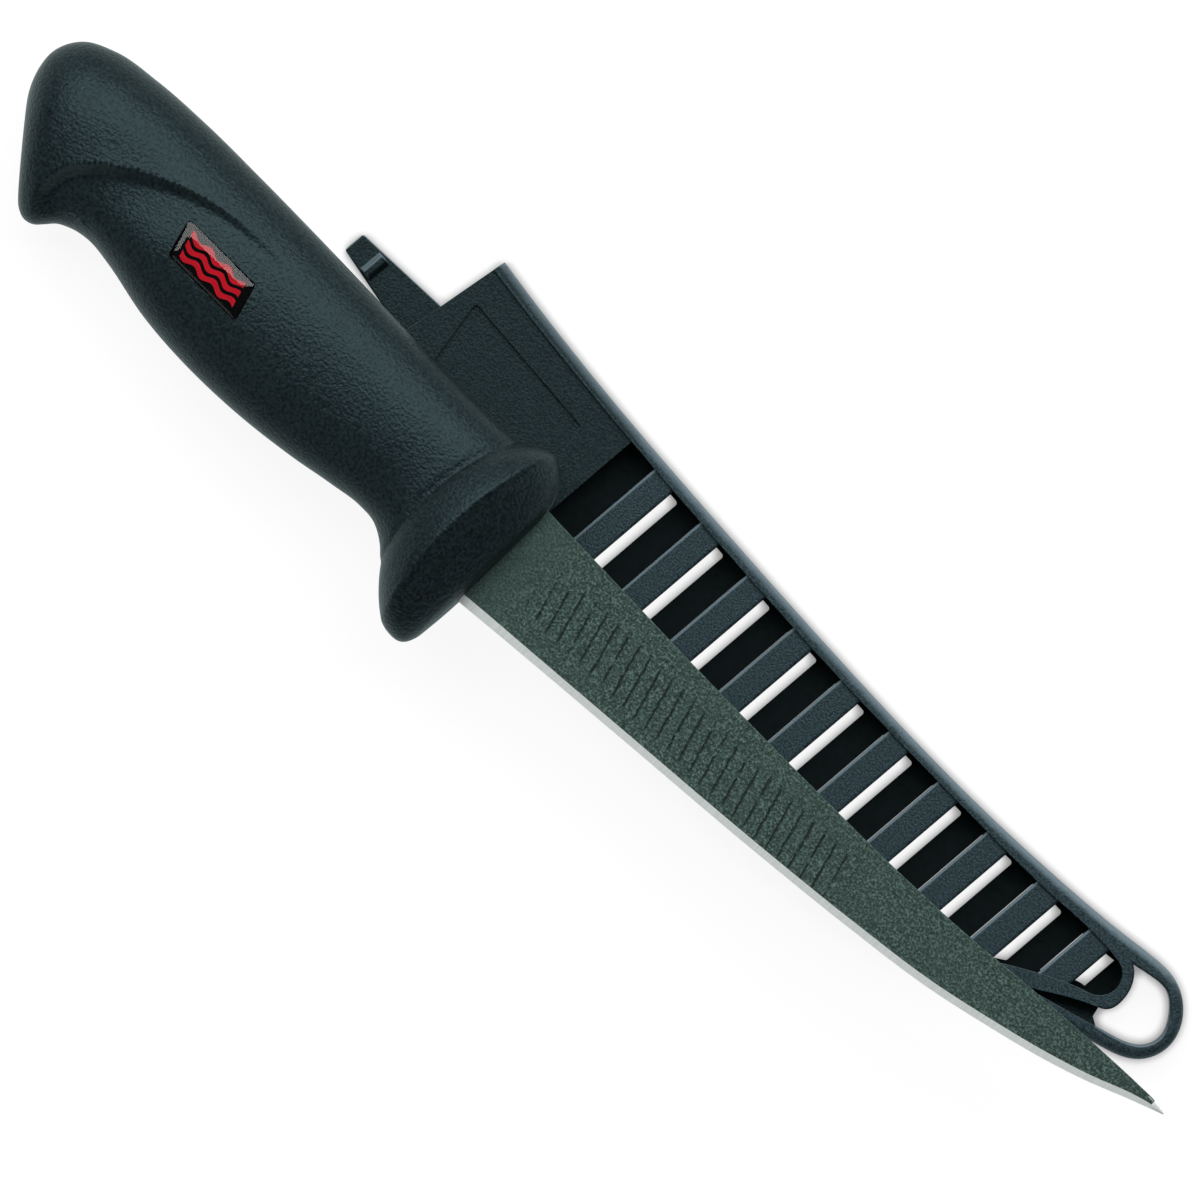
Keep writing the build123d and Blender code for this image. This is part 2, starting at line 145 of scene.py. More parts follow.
def apply_modifiers(piece):
    """Turn the piece with its modifiers into a plain mesh."""
    bpy.context.view_layer.update()
    graph = bpy.context.evaluated_depsgraph_get()
    piece.data = bpy.data.meshes.new_from_object(piece.evaluated_get(graph))
    piece.modifiers.clear()


def cut_with(piece, tool, operation="DIFFERENCE"):
    """Join or cut the piece with another solid, which is then gone."""
    cut = piece.modifiers.new(operation, "BOOLEAN")
    cut.operation, cut.solver, cut.object = operation, "EXACT", tool
    apply_modifiers(piece)
    bpy.data.objects.remove(tool)


def dress(piece, finish, body, material_slot, *nodes):
    """Give a finished piece its material, the body it rides on and the nodes it stands for."""
    if finish:
        piece.data.materials.clear()
        piece.data.materials.append(finish)
    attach(piece, body)
    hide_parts(*nodes)


# x, spine, edge, bevel width, half thickness at the spine, half thickness at the bevel's shoulder
blade_rows = [
    (-4.0, 12.75, -14.2, 1.9, 0.95, 0.55),
    (0.0, 12.6, -13.8, 1.9, 0.95, 0.55),
    (19.9, 12.0, -12.0, 1.7, 0.89, 0.53),
    (45.0, 11.3, -9.9, 1.6, 0.81, 0.51),
    (79.9, 10.9, -7.0, 1.6, 0.70, 0.48),
    (105.0, 11.1, -4.36, 1.6, 0.63, 0.45),
    (125.0, 12.0, -1.6, 1.6, 0.56, 0.42),
    (140.1, 13.4, 1.7, 1.6, 0.52, 0.39),
    (152.0, 14.2, 4.75, 1.6, 0.48, 0.37),
    (162.0, 14.7, 8.0, 1.5, 0.45, 0.36),
    (170.0, 15.0, 11.2, 1.4, 0.42, 0.35),
    (175.0, 15.0, 13.1, 0.9, 0.41, 0.34),
    (178.0, 14.44, 14.2, 0.12, 0.40, 0.33),
]
edge_half = 0.06
spine_round = 0.25
blade_ring_count = 220
blade_rings = []
for x, spine, edge, bevel, spine_half, shoulder_half in smooth_rows(blade_rows, blade_ring_count, 3):
    shoulder = edge + min(bevel, (spine - edge) / 2)
    rounded = min(spine_round, (spine - shoulder) / 3)
    side = [(spine, 0.7 * spine_half), (spine - rounded, spine_half)]
    for share in (0.3, 0.65, 1.0):
        half = spine_half + (shoulder_half - spine_half) * share
        side.append((spine + (shoulder - spine) * share, half))
    side.append((edge, edge_half))
    blade_rings.append([(x, y, z) for y, z in side] + [(x, y, -z) for y, z in reversed(side)])
blade = ring_mesh("blade_strip", blade_rings)
tidy_mesh(blade, Matrix.Identity(4))

tang_half = 0.95
tang_outline = [(-0.5, 7.5), (-0.5, -7.5), (-109.5, -4.6), (-112.0, -2.1), (-112.0, 2.1), (-109.5, 4.6)]
tang = ring_mesh("tang", [[(x, y, z) for x, y in tang_outline] for z in (-tang_half, tang_half)])
tidy_mesh(tang, Matrix.Identity(4))
cut_with(blade, tang, "UNION")
tang_hole_radius, drill_length = 2.5, 6
tang_holes = bmesh.new()
for x in (-22.7, -60.0, -97.3):
    bmesh.ops.create_cone(
        tang_holes,
        segments=32,
        radius1=tang_hole_radius,
        radius2=tang_hole_radius,
        depth=drill_length,
        cap_ends=True,
        matrix=Matrix.Translation((x, 0, 0)),
    )
drill = add_piece("drill", bpy.data.meshes.new("drill"))
tang_holes.to_mesh(drill.data)
tang_holes.free()
cut_with(blade, drill)

# Sprayed fluoropolymer coating, satin: orange peel in grains about 0.5 mm across, light and dark,
# with cloudy patches of some 6 mm, and evener over the heel's first 16 mm. Fine score lines 3.2 mm
# apart lean across the flat.
coating, tree, shader = new_finish(
    "sprayed_nonstick_coating",
    {"Roughness": 0.45, "Specular IOR Level": 0.35, "Specular Tint": linear("#cdeee4")},
)
where = add_node(tree, "ShaderNodeTexCoord").outputs["Object"]
grains = add_node(tree, "ShaderNodeTexNoise", {"Vector": where, "Scale": 1900, "Detail": 3, "Roughness": 0.6})
patches = add_node(tree, "ShaderNodeTexNoise", {"Vector": where, "Scale": 160, "Detail": 2})
speckle = add_node(tree, "ShaderNodeValToRGB", {"Fac": grains.outputs["Fac"]})
set_ramp(speckle, [(0.35, "#25322f"), (0.50, "#3c4e49"), (0.64, "#6a817a")])
on_knife = add_node(
    tree,
    "ShaderNodeMapping",
    {"Vector": where, "Location": knife_place, "Rotation": knife_turn.to_euler(), "Scale": knife_scale},
)
parts = add_node(tree, "ShaderNodeSeparateXYZ", {0: on_knife.outputs[0]})
even = add_node(tree, "ShaderNodeMapRange", {0: patches.outputs["Fac"], 1: 0.3, 2: 0.75, 3: 0.0, 4: 0.4})
at_heel = add_node(tree, "ShaderNodeMapRange", {0: parts.outputs[0], 1: 4.0, 2: 16.0, 3: 0.65, 4: 0.0})
even = add_node(tree, "ShaderNodeMath", {0: even.outputs[0], 1: at_heel.outputs[0]}, operation="MAXIMUM")
tone = add_node(tree, "ShaderNodeMix", {0: even.outputs[0], 6: speckle.outputs["Color"]}, data_type="RGBA")
tone.inputs[7].default_value = linear("#3c4f4a")
wobble = add_node(tree, "ShaderNodeTexNoise", {"Vector": on_knife.outputs[0], "Scale": 0.9, "Detail": 1})
line_pitch = 3.2
line_lean = 0.275
lines_across = add_node(
    tree,
    "ShaderNodeVectorMath",
    {0: on_knife.outputs[0], 1: (1 / line_pitch, line_lean / line_pitch, 0)},
    operation="DOT_PRODUCT",
)
wander = add_node(
    tree,
    "ShaderNodeMath",
    {0: wobble.outputs["Fac"], 1: 0.16, 2: lines_across.outputs["Value"]},
    operation="MULTIPLY_ADD",
)
from_line = add_node(tree, "ShaderNodeMath", {0: wander.outputs[0], 1: 0.5}, operation="PINGPONG")
# A line is 0.4 mm wide, and broken where the noise is low.
thin = add_node(tree, "ShaderNodeMapRange", {0: from_line.outputs[0], 1: 0.03, 2: 0.09, 3: 1.0, 4: 0.0})
broken = add_node(tree, "ShaderNodeTexNoise", {"Vector": on_knife.outputs[0], "Scale": 0.33, "Detail": 3})
kept = add_node(tree, "ShaderNodeMapRange", {0: broken.outputs["Fac"], 1: 0.34, 2: 0.42, 3: 0.0, 4: 1.0})
scored = add_node(tree, "ShaderNodeMath", {0: thin.outputs[0], 1: kept.outputs[0]}, operation="MULTIPLY")
for axis, middle, reach, fade in ((0, 54.0, 46.0, 6.0), (1, 0.4, 6.4, 1.5)):
    away = add_node(tree, "ShaderNodeMath", {0: parts.outputs[axis], 1: middle}, operation="SUBTRACT")
    away = add_node(tree, "ShaderNodeMath", {0: away.outputs[0]}, operation="ABSOLUTE")
    inside = add_node(
        tree,
        "ShaderNodeMapRange",
        {0: away.outputs[0], 1: reach - fade, 2: reach, 3: 1.0, 4: 0.0},
    )
    scored = add_node(
        tree,
        "ShaderNodeMath",
        {0: scored.outputs[0], 1: inside.outputs[0]},
        operation="MULTIPLY",
    )
score_depth = add_node(tree, "ShaderNodeMath", {0: scored.outputs[0], 1: 0.8}, operation="MULTIPLY")
marked = add_node(tree, "ShaderNodeMix", {0: score_depth.outputs[0], 6: tone.outputs[2]}, data_type="RGBA")
marked.inputs[7].default_value = linear("#18211e")
tree.links.new(marked.outputs[2], shader.inputs["Base Color"])
relief = add_node(
    tree,
    "ShaderNodeMath",
    {0: grains.outputs["Fac"], 1: score_depth.outputs[0]},
    operation="SUBTRACT",
)
peel = add_node(tree, "ShaderNodeBump", {"Height": relief.outputs[0], "Strength": 1.0, "Distance": 0.0006})
tree.links.new(peel.outputs["Normal"], shader.inputs["Normal"])

# Bare ground steel: bright, and dulled by grinding lines about 0.4 mm apart across the edge. Its brightness
# is mostly a near-white diffuse colour on steel only 0.3 metallic: a painted reflection.
ground_steel, tree, shader = new_finish("ground_stainless_steel", {"Metallic": 0.3, "Roughness": 0.42})
where = add_node(tree, "ShaderNodeTexCoord").outputs["Object"]
stretch = add_node(tree, "ShaderNodeMapping", {"Vector": where, "Scale": (2500, 250, 250)})
lines = add_node(tree, "ShaderNodeTexNoise", {"Vector": stretch.outputs[0], "Scale": 1.0, "Detail": 2})
shade = add_node(tree, "ShaderNodeValToRGB", {"Fac": lines.outputs["Fac"]})
set_ramp(shade, [(0.3, "#e6eeea"), (0.7, "#f6faf8")])
tree.links.new(shade.outputs["Color"], shader.inputs["Base Color"])
scratches = add_node(
    tree,
    "ShaderNodeBump",
    {"Height": lines.outputs["Fac"], "Strength": 0.1, "Distance": 0.00005},
)
tree.links.new(scratches.outputs["Normal"], shader.inputs["Normal"])
dress(blade, coating, "knife", "blade", "blade")
blade.data.materials.append(ground_steel)
tidy_mesh(blade, knife_frame, merge=1e-4)
# The coating is ground away from the faces that look towards the edge, from the heel on, and from the
# last of the tip.
bare_from, bare_tip_from = -1.0, 174.6
across = (knife_frame.to_3x3() @ Vector((0, 1, 0))).normalized()
to_knife = knife_frame.inverted()
for face in blade.data.polygons:
    along = (to_knife @ face.center).x
    ground = face.normal.dot(across) < -0.1 and along > bare_from
    face.material_index = int(ground or along > bare_tip_from)
    face.use_smooth = False

# Hard core: nylon moulded round the tang, out of sight inside the soft grip. It has the dull, slightly
# mottled skin of a moulding that is meant to be covered.
core_plastic, tree, shader = new_finish("moulded_nylon", {"Roughness": 0.55})
where = add_node(tree, "ShaderNodeTexCoord").outputs["Object"]
mottle = add_node(tree, "ShaderNodeTexNoise", {"Vector": where, "Scale": 400, "Detail": 4})
shade = add_node(tree, "ShaderNodeValToRGB", {"Fac": mottle.outputs["Fac"]})
set_ramp(shade, [(0.0, "#1d1f20"), (1.0, "#2b2e30")])
tree.links.new(shade.outputs["Color"], shader.inputs["Base Color"])
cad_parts["handle_core"].data.materials.clear()
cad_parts["handle_core"].data.materials.append(core_plastic)

# Soft grip: black thermoplastic rubber moulded over the core, guard, grip and pommel hook in one. It
# is drawn as sections from the pommel to the guard's front, each given by where it meets the back and
# the belly, its half thickness, and how far its middle bows back.
grip_rows = [
    (-137.3, -4.3, -125.2, -18.5, 0.0, 0.0),
    (-138.2, -3.0, -124.3, -19.6, 2.6, 0.0),
    (-139.8, 0.0, -122.6, -20.9, 5.4, 0.0),
    (-140.9, 3.5, -120.6, -21.5, 7.8, 0.0),
    (-141.2, 7.0, -118.6, -20.9, 9.7, 0.0),
    (-140.3, 10.2, -117.0, -19.3, 11.0, 0.0),
    (-138.0, 13.4, -115.6, -17.7, 11.8, 0.0),
    (-132.0, 16.5, -113.0, -16.2, 12.4, 0.0),
    (-121.0, 18.4, -108.0, -15.1, 12.4, 0.0),
    (-108.0, 19.2, -101.0, -15.8, 12.1, 0.0),
    (-93.0, 19.3, -89.0, -18.2, 12.0, 0.0),
    (-76.0, 19.1, -75.0, -19.2, 11.8, 0.0),
    (-60.0, 18.7, -60.0, -18.7, 11.4, 0.0),
    (-45.0, 18.2, -46.0, -17.0, 10.7, 0.0),
    (-32.0, 18.0, -36.0, -15.2, 10.3, 0.0),
    (-25.0, 17.9, -29.0, -14.2, 10.1, -0.6),
    (-20.0, 17.9, -24.0, -14.7, 10.05, -1.3),
    (-16.6, 18.0, -19.8, -17.2, 10.05, -2.4),
    (-15.4, 18.0, -18.2, -18.7, 9.92, -2.9),
    (-14.7, 18.1, -17.2, -19.5, 9.97, -3.1),
    (-14.0, 18.6, -16.4, -20.5, 10.6, -3.2),
    (-12.6, 19.6, -15.0, -22.2, 11.7, -3.3),
    (-10.4, 20.9, -12.4, -24.9, 13.1, -3.3),
    (-8.2, 21.6, -9.6, -27.2, 14.3, -3.3),
    (-7.3, 21.75, -8.4, -28.0, 14.6, -3.2),
    (-6.7, 21.6, -7.6, -28.3, 14.1, -3.0),
    (-5.0, 20.6, -5.6, -28.65, 12.1, -2.4),
    (-3.4, 19.3, -3.6, -28.5, 10.2, -1.7),
    (-2.0, 17.4, -2.2, -27.6, 8.5, -1.0),
    (-0.9, 15.2, -1.2, -25.6, 7.1, -0.5),
    (-0.3, 12.8, -0.8, -22.6, 6.0, -0.2),
    (0.0, 9.0, -0.4, -17.5, 4.4, 0.0),
    (0.0, 5.0, -0.3, -12.0, 0.0, 0.0),
]
# A flowing step curves over the side below the pommel: x, y, depth, width of its steep part.
swoosh_rows = [
    (-120.0, -21.0, 0.9, 3.8),
    (-122.4, -14.5, 2.6, 3.3),
    (-121.4, -8.5, 3.3, 3.0),
    (-117.0, -3.0, 3.2, 2.8),
    (-111.0, 1.2, 2.6, 2.5),
    (-104.0, 5.0, 2.0, 2.2),
    (-96.0, 8.0, 1.4, 1.9),
    (-87.0, 9.8, 0.85, 1.7),
    (-78.0, 10.3, 0.35, 1.4),
    (-71.0, 10.3, 0.0, 1.3),
]
# Behind the steep part the side rises back over this length, in front of it stands a low lip, and the
# step fades out near the grip's middle plane and past its ends.
swoosh_recovery = 15.0
swoosh_lip_share, swoosh_lip_width = 0.16, 2.0
swoosh_side_fade, swoosh_end_fade = 6.0, 3.0
section_squareness = 2.2
around_count, grip_ring_count = 196, 490
grip_rings = []
for back_x, back_y, belly_x, belly_y, half, bow in smooth_rows(grip_rows, grip_ring_count, 4):
    ring = []
    for step in range(around_count):
        c, s = cos(2 * pi * step / around_count), sin(2 * pi * step / around_count)
        up = abs(c) ** (2 / section_squareness) * (1 if c > 0 else -1)
        out = abs(s) ** (2 / section_squareness) * (1 if s > 0 else -1)
        x = (back_x + belly_x) / 2 + (back_x - belly_x) / 2 * up + bow * (1 - up * up)
        y = (back_y + belly_y) / 2 + (back_y - belly_y) / 2 * up
        ring.append((x, y, max(half, 0) * out))
    grip_rings.append(ring)
points = np.array(grip_rings)
swoosh_steps = 700
swoosh = smooth_rows(swoosh_rows, swoosh_steps, 2)
for ring in points:
    nearest = np.argmin(np.hypot(ring[:, None, 0] - swoosh[:, 0], ring[:, None, 1] - swoosh[:, 1]), axis=1)
    run = np.gradient(swoosh[:, :2], axis=0)[nearest]
    run /= np.linalg.norm(run, axis=1)[:, None]
    gap = ring[:, :2] - swoosh[nearest, :2]
    beside = run[:, 1] * gap[:, 0] - run[:, 0] * gap[:, 1]
    past = abs(run[:, 0] * gap[:, 0] + run[:, 1] * gap[:, 1])
    depth, width = swoosh[nearest, 2], swoosh[nearest, 3]
    fall = np.clip(beside / width, 0, 1)
    rise = np.clip(1 - (beside - width) / swoosh_recovery, 0, 1)
    dip = depth * fall**1.5 * (2.5 - 1.5 * fall) * rise**2 * (3 - 2 * rise)
    lip = swoosh_lip_share * depth * np.exp(-np.clip(-beside, 0, 50) / swoosh_lip_width)
    edge_fade = np.clip(abs(ring[:, 2]) / swoosh_side_fade, 0, 1) * np.clip(1 - past / swoosh_end_fade, 0, 1)
    ring[:, 2] -= np.sign(ring[:, 2]) * (dip - lip) * edge_fade
grip = ring_mesh("grip_skin", points)
tidy_mesh(grip, Matrix.Identity(4), merge=1e-3)


# Recess for the badge, cut square to the blade's flat through the grip's side.
def leaning_outline(length, height, lean, corner, steps=6):
    """Outline of a label whose ends lean back, with rounded corners, as points about its middle."""
    shift = height / 2 * tan(radians(lean))
    corners = [
        Vector((-length / 2 + shift, -height / 2)),
        Vector((length / 2 + shift, -height / 2)),
        Vector((length / 2 - shift, height / 2)),
        Vector((-length / 2 - shift, height / 2)),
    ]
    outline = []
    for i, here in enumerate(corners):
        before, after = corners[i - 1], corners[(i + 1) % 4]
        to_before, to_after = (before - here).normalized(), (after - here).normalized()
        half_angle = to_before.angle(to_after) / 2
        reach = corner / tan(half_angle)
        middle = here + (to_before + to_after).normalized() * corner / sin(half_angle)
        first, last = here + to_before * reach - middle, here + to_after * reach - middle
        for step in range(steps + 1):
            outline.append(middle + first.slerp(last, step / steps))
    return outline


badge_middle = Vector((-83.9, -1.3))
badge_lean = 16.0
badge_seat = 10.21
# Length, height, corner and level of the recess, widening where it runs out through the skin.
recess_rows = [(21.2, 9.9, 1.7, badge_seat), (21.2, 9.9, 1.7, 11.6), (22.0, 10.7, 2.1, 12.8)]
recess_rings = []
for length, height, corner, z in recess_rows:
    outline = leaning_outline(length, height, badge_lean, corner)
    recess_rings.append([(*(badge_middle + p), z) for p in outline])
recess = ring_mesh("recess", recess_rings)
tidy_mesh(recess, Matrix.Identity(4))
cut_with(grip, recess)

# Thermoplastic rubber from a spark-eroded mould: soft pebbles about 0.7 mm across, satin on their tops
# and dull between them.
rubber, tree, shader = new_finish(
    "moulded_thermoplastic_rubber",
    {"Roughness": 0.33, "Specular IOR Level": 0.31, "Specular Tint": linear("#bfeaf2")},
)
where = add_node(tree, "ShaderNodeTexCoord").outputs["Object"]
pebbles = add_node(
    tree,
    "ShaderNodeTexNoise",
    {"Vector": where, "Scale": 1500, "Detail": 2, "Roughness": 0.5},
)
shade = add_node(tree, "ShaderNodeValToRGB", {"Fac": pebbles.outputs["Fac"]})
set_ramp(shade, [(0.36, "#0a0f12"), (0.64, "#1f2a2c")])
tree.links.new(shade.outputs["Color"], shader.inputs["Base Color"])
grain = add_node(
    tree,
    "ShaderNodeBump",
    {"Height": pebbles.outputs["Fac"], "Strength": 1.0, "Distance": 0.00022},
)
tree.links.new(grain.outputs["Normal"], shader.inputs["Normal"])
tidy_mesh(grip, knife_frame, merge=1e-6)
for face in grip.data.polygons:
    face.use_smooth = True
grip.data.set_sharp_from_angle(angle=radians(40))
dress(grip, rubber, "knife", "grip", "soft_grip")

# Badge: a printed plate glued in the recess, gloss black with plain red waves, under a poured dome of
# clear resin that stands level with the grip.
enamel, tree, shader = new_finish("printed_black_enamel", {"Roughness": 0.25, "Specular IOR Level": 0.0})
where = add_node(tree, "ShaderNodeTexCoord").outputs["Object"]
on_knife = add_node(
    tree,
    "ShaderNodeMapping",
    {"Vector": where, "Location": knife_place, "Rotation": knife_turn.to_euler(), "Scale": knife_scale},
)
parts = add_node(tree, "ShaderNodeSeparateXYZ", {0: on_knife.outputs[0]})
# Three waves, 2 mm apart, each 1.2 mm thick and 5.2 mm long, printed over 15.4 by 5.4 mm.
wave_length, wave_rise, wave_half_pitch, wave_width_share = 5.2, 0.45, 1.0, 0.6
print_half_length, print_half_height = 7.7, 2.7
angle = add_node(tree, "ShaderNodeMath", {0: parts.outputs[0], 1: 2 * pi / wave_length}, operation="MULTIPLY")
swell = add_node(tree, "ShaderNodeMath", {0: angle.outputs[0]}, operation="SINE")
level = add_node(
    tree,
    "ShaderNodeMath",
    {0: swell.outputs[0], 1: -wave_rise, 2: parts.outputs[1]},
    operation="MULTIPLY_ADD",
)
level = add_node(tree, "ShaderNodeMath", {0: level.outputs[0], 1: -badge_middle.y}, operation="ADD")
beat = add_node(tree, "ShaderNodeMath", {0: level.outputs[0], 1: wave_half_pitch}, operation="PINGPONG")
printed = add_node(tree, "ShaderNodeMath", {0: beat.outputs[0], 1: wave_width_share}, operation="LESS_THAN")
height = add_node(tree, "ShaderNodeMath", {0: level.outputs[0]}, operation="ABSOLUTE")
height = add_node(tree, "ShaderNodeMath", {0: height.outputs[0], 1: print_half_height}, operation="LESS_THAN")
lean_back = tan(radians(badge_lean))
slant = add_node(
    tree,
    "ShaderNodeMath",
    {0: parts.outputs[1], 1: lean_back, 2: parts.outputs[0]},
    operation="MULTIPLY_ADD",
)
slant = add_node(
    tree,
    "ShaderNodeMath",
    {0: slant.outputs[0], 1: -badge_middle.x - badge_middle.y * lean_back},
    operation="ADD",
)
slant = add_node(tree, "ShaderNodeMath", {0: slant.outputs[0]}, operation="ABSOLUTE")
length = add_node(tree, "ShaderNodeMath", {0: slant.outputs[0], 1: print_half_length}, operation="LESS_THAN")
for bound in (height, length):
    printed = add_node(
        tree,
        "ShaderNodeMath",
        {0: printed.outputs[0], 1: bound.outputs[0]},
        operation="MULTIPLY",
    )
ink = add_node(tree, "ShaderNodeMix", {0: printed.outputs[0]}, data_type="RGBA")
ink.inputs[6].default_value = linear("#040405")
ink.inputs[7].default_value = linear("#ff2438")
tree.links.new(ink.outputs[2], shader.inputs["Base Color"])
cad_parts["badge_plate"].data.materials.clear()
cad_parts["badge_plate"].data.materials.append(enamel)

# How far the dome's skin has drawn in, and its height above its bonded face, which is 0.02 mm deep in
# the 0.5 mm plate.
dome_profile = [
    (0.0, 0.0), (0.0, 0.34), (0.06, 0.50), (0.18, 0.62), (0.36, 0.70), (0.8, 0.785), (1.3, 0.87), (1.9, 0.95),
    (2.6, 1.02), (3.3, 1.06), (4.0, 1.075),
]
dome_length, dome_height, dome_corner, dome_base = 19.6, 8.3, 0.9, badge_seat + 0.48
dome_rings = []
for inset, rise in dome_profile:
    corner = max(dome_corner - 0.5 * inset, 0.05)
    outline = leaning_outline(dome_length - 2 * inset, dome_height - 2 * inset, badge_lean, corner)
    dome_rings.append([(*(badge_middle + p), dome_base + rise) for p in outline])
dome = ring_mesh("resin_dome", dome_rings)
tidy_mesh(dome, knife_frame, merge=1e-6)
for face in dome.data.polygons:
    face.use_smooth = True
dome.data.set_sharp_from_angle(angle=radians(60))
# Poured polyurethane resin: clear, and as smooth as glass.
resin, tree, shader = new_finish(
    "poured_clear_resin",
    {"Roughness": 0.03, "IOR": 1.5, "Transmission Weight": 1.0, "Base Color": linear("#f6f8fa")},
)
dress(dome, resin, "knife", "badge_dome", "badge_dome")

# Sheath: one moulding in black polypropylene. Its tray has slats in front and behind by turns, so air
# dries the blade, and its rounded rails run on into the end loop. The front slats are drawn here: bars
# with rounded arrises, one beside the other, whose ends sink into the rails.
sheath_frame = (
    Matrix.Translation((-0.0633133, 0.0146505, 0))
    @ Matrix.Rotation(radians(-4.5), 4, "Z")
    @ Matrix.Scale(0.001, 4)
)
slat_count, slat_pitch, slat_width, slat_start = 10, 14.6, 6.2, 52.9
slat_base, slat_top = 6.2, 7.8
# The space between the rails, with 0.4 mm of their thickness.
between_rails = [
    (45.0, 17.4), (73.6, 17.4), (113.7, 18.3), (153.8, 20.8), (173.5, 22.5), (190.0, 24.2), (196.0, 23.0),
    (197.8, 19.2), (195.6, 15.1), (193.1, 13.8), (186.9, 10.5), (180.0, 6.0), (171.9, 0.0), (160.1, -6.0),
    (136.6, -12.2), (96.7, -16.4), (45.0, -18.1),
]
space_levels = (slat_base - 2, slat_top + 2)
space = ring_mesh("front_slats", [[(x, y, z) for x, y in between_rails] for z in space_levels])
tidy_mesh(space, Matrix.Identity(4))

slats_tree = bpy.data.node_groups.new("row_of_slats", "GeometryNodeTree")
slats_tree.interface.new_socket("Geometry", in_out="INPUT", socket_type="NodeSocketGeometry")
slats_tree.interface.new_socket("Geometry", in_out="OUTPUT", socket_type="NodeSocketGeometry")
slat_sizes = {
    "Count": ("NodeSocketInt", slat_count),
    "Pitch": ("NodeSocketFloat", slat_pitch),
    "Width": ("NodeSocketFloat", slat_width),
    "Thickness": ("NodeSocketFloat", slat_top - slat_base),
    "Arris": ("NodeSocketFloat", 0.75),
    "First middle": ("NodeSocketVector", (slat_start + slat_width / 2, 0, (slat_base + slat_top) / 2)),
    "Material": ("NodeSocketMaterial", None),
}
for name, (kind, value) in slat_sizes.items():
    slats_tree.interface.new_socket(name, in_out="INPUT", socket_type=kind)
given = add_node(slats_tree, "NodeGroupInput").outputs
step = add_node(slats_tree, "ShaderNodeCombineXYZ", {"X": given["Pitch"]})
places = add_node(
    slats_tree,
    "GeometryNodeMeshLine",
    {"Count": given["Count"], "Start Location": given["First middle"], "Offset": step.outputs[0]},
    mode="OFFSET",
)
section = add_node(
    slats_tree,
    "GeometryNodeCurvePrimitiveQuadrilateral",
    {"Width": given["Width"], "Height": given["Thickness"]},
)
section = add_node(
    slats_tree,
    "GeometryNodeFilletCurve",
    {"Curve": section.outputs[0], "Radius": given["Arris"], "Count": 5},
    mode="POLY",
)
# The section is drawn flat and pushed along, then stood up so that the bar runs along y. The bars are
# longer than the tray is wide, and the space between the rails trims them.
slat_reach = 40
spine = add_node(
    slats_tree,
    "GeometryNodeCurvePrimitiveLine",
    {"Start": (0, 0, -slat_reach), "End": (0, 0, slat_reach)},
)
bar = add_node(
    slats_tree,
    "GeometryNodeCurveToMesh",
    {"Curve": spine.outputs[0], "Profile Curve": section.outputs[0], "Fill Caps": True},
)
bar = add_node(slats_tree, "GeometryNodeTransform", {"Geometry": bar.outputs[0], "Rotation": (pi / 2, 0, 0)})
row = add_node(
    slats_tree,
    "GeometryNodeInstanceOnPoints",
    {"Points": places.outputs[0], "Instance": bar.outputs[0]},
)
row = add_node(slats_tree, "GeometryNodeRealizeInstances", {"Geometry": row.outputs[0]})
ended = add_node(slats_tree, "GeometryNodeMeshBoolean", operation="INTERSECT", solver="EXACT")
slats_tree.links.new(row.outputs[0], ended.inputs[1])
slats_tree.links.new(given["Geometry"], ended.inputs[1])
real = add_node(slats_tree, "GeometryNodeRealizeInstances", {"Geometry": ended.outputs[0]})
finished = add_node(
    slats_tree,
    "GeometryNodeSetMaterial",
    {"Geometry": real.outputs[0], "Material": given["Material"]},
)
add_node(slats_tree, "NodeGroupOutput", {"Geometry": finished.outputs[0]})
